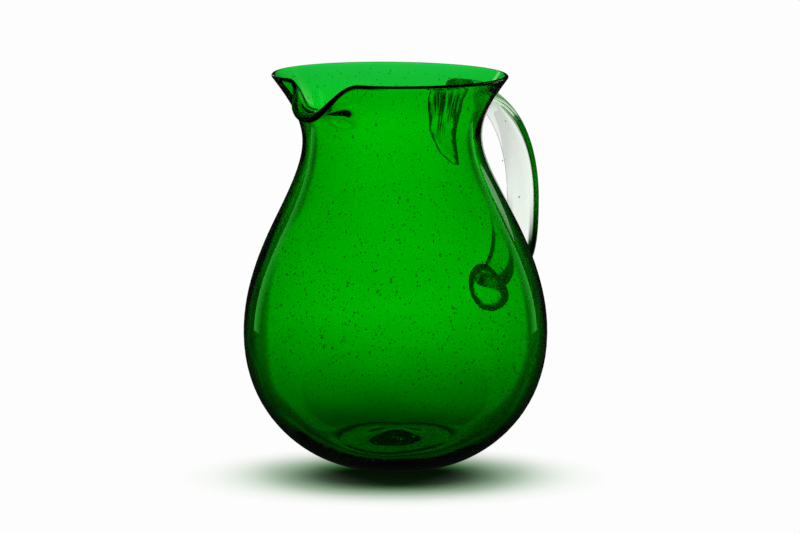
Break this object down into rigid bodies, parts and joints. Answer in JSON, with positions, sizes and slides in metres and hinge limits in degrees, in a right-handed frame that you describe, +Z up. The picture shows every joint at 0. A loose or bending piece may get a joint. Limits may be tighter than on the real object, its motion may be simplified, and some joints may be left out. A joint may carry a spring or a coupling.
{
  "type": "glass pitcher",
  "caption": "Blown green bubble-glass pitcher with a round belly, narrow neck, flared rim, drawn spout and an applied clear glass strap handle.",
  "frame": {"origin": "on the surface that the pitcher stands on, under the middle of its bounding box; the vessel's own axis is 13 mm from it towards the spout", "axes": "+Z up, +X towards the handle, -X towards the spout, Y across the plane of symmetry"},
  "size_m": [0.1856, 0.1596, 0.207],
  "materials": {
    "green_glass": "fire-polished blown glass with seeds and bubbles",
    "clear_glass": "fire-polished hand-drawn glass"
  },
  "bodies": {
    "root": {"vessel": "green_glass", "handle": "clear_glass"}
  },
  "joints": []
}
